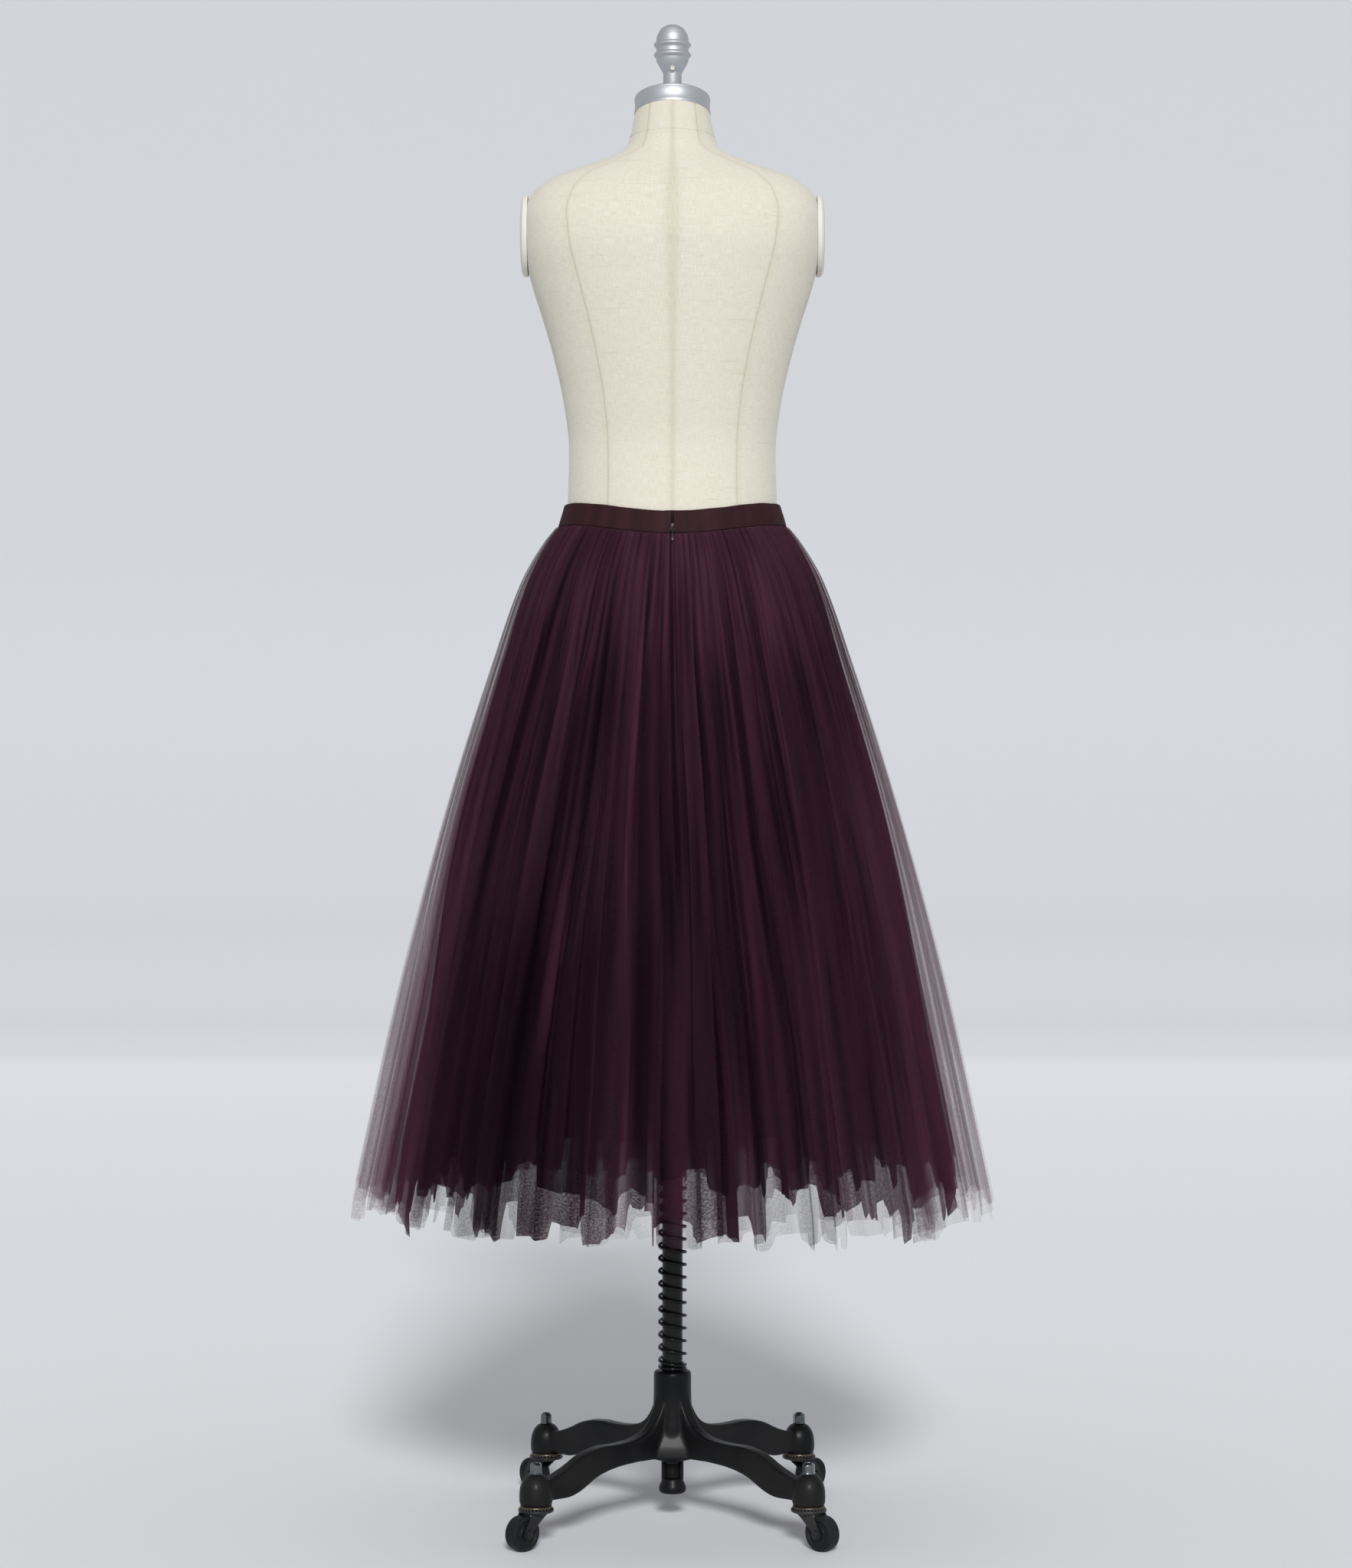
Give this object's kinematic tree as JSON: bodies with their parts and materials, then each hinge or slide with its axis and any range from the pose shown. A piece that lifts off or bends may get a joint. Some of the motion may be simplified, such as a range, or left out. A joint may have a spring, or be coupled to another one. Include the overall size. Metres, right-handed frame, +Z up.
{
  "type": "tulle skirt on dress form with stand",
  "caption": "Long gathered tulle skirt with satin waistband and lining, on a limbless linen dress form over a height-adjustable pole stand with casters.",
  "frame": {"origin": "on the floor under the pole's axis", "axes": "+Z up the pole, +X to the right and +Y away from the viewer in the picture, where the skirt's centre back with its zip faces -Y"},
  "size_m": [0.7228, 0.6974, 1.6856],
  "materials": {
    "tulle": "sheer dark plum net, layered",
    "lining": "wine-red satin lining",
    "band": "brown-burgundy satin",
    "zip": "dark enamelled zip slider",
    "linen": "cream linen cover",
    "board": "plain board",
    "plate": "pale moulded plate",
    "silver": "satin silver casting",
    "iron": "worn black enamel",
    "steel": "dark bright steel",
    "spring": "black coated spring wire",
    "tyre": "dark hard rubber"
  },
  "bodies": {
    "stand": {"base_casting": "iron", "pole": "steel", "pole_foot": "iron", "spring": "spring", "caster_stem_1": "steel", "caster_stem_2": "steel", "caster_stem_3": "steel", "caster_stem_4": "steel"},
    "form": {"form_body": "linen", "form_board": "board", "arm_plate_right": "plate", "arm_plate_left": "plate", "neck_cap": "silver", "finial": "silver", "finial_screw": "silver", "sleeve": "steel", "tulle_outer": "tulle", "tulle_middle": "tulle", "lining": "lining", "waistband": "band", "zip_slider": "zip"},
    "zip_pull": {"zip_pull": "zip"},
    "fork_1": {"fork_1": "steel"},
    "fork_2": {"fork_2": "steel"},
    "fork_3": {"fork_3": "steel"},
    "fork_4": {"fork_4": "steel"},
    "wheel_1": {"wheel_1": "tyre"},
    "wheel_2": {"wheel_2": "tyre"},
    "wheel_3": {"wheel_3": "tyre"},
    "wheel_4": {"wheel_4": "tyre"}
  },
  "joints": [
    {"name": "height_slide", "type": "slide", "parent": "stand", "child": "form", "axis": [0, 0, 1], "range_m": [-0.14, 0.05], "deforming": ["spring"]},
    {"name": "zip_pull_swing", "type": "hinge", "parent": "form", "child": "zip_pull", "pos_m": [0, -0.10552, 1.1075], "axis": [-1, 0, 0], "range_deg": [0, 120]},
    {"name": "caster_swivel_1", "type": "hinge", "parent": "stand", "child": "fork_1", "pos_m": [-0.148, -0.148, 0.0415], "axis": [0, 0, 1], "continuous": true},
    {"name": "caster_swivel_2", "type": "hinge", "parent": "stand", "child": "fork_2", "pos_m": [0.148, -0.148, 0.0415], "axis": [0, 0, 1], "continuous": true},
    {"name": "caster_swivel_3", "type": "hinge", "parent": "stand", "child": "fork_3", "pos_m": [0.148, 0.148, 0.0415], "axis": [0, 0, 1], "continuous": true},
    {"name": "caster_swivel_4", "type": "hinge", "parent": "stand", "child": "fork_4", "pos_m": [-0.148, 0.148, 0.0415], "axis": [0, 0, 1], "continuous": true},
    {"name": "wheel_roll_1", "type": "hinge", "parent": "fork_1", "child": "wheel_1", "pos_m": [-0.16214, -0.16214, 0.019], "axis": [0.7071, -0.7071, 0], "continuous": true},
    {"name": "wheel_roll_2", "type": "hinge", "parent": "fork_2", "child": "wheel_2", "pos_m": [0.16214, -0.16214, 0.019], "axis": [0.7071, 0.7071, 0], "continuous": true},
    {"name": "wheel_roll_3", "type": "hinge", "parent": "fork_3", "child": "wheel_3", "pos_m": [0.16214, 0.16214, 0.019], "axis": [-0.7071, 0.7071, 0], "continuous": true},
    {"name": "wheel_roll_4", "type": "hinge", "parent": "fork_4", "child": "wheel_4", "pos_m": [-0.16214, 0.16214, 0.019], "axis": [-0.7071, -0.7071, 0], "continuous": true}
  ]
}
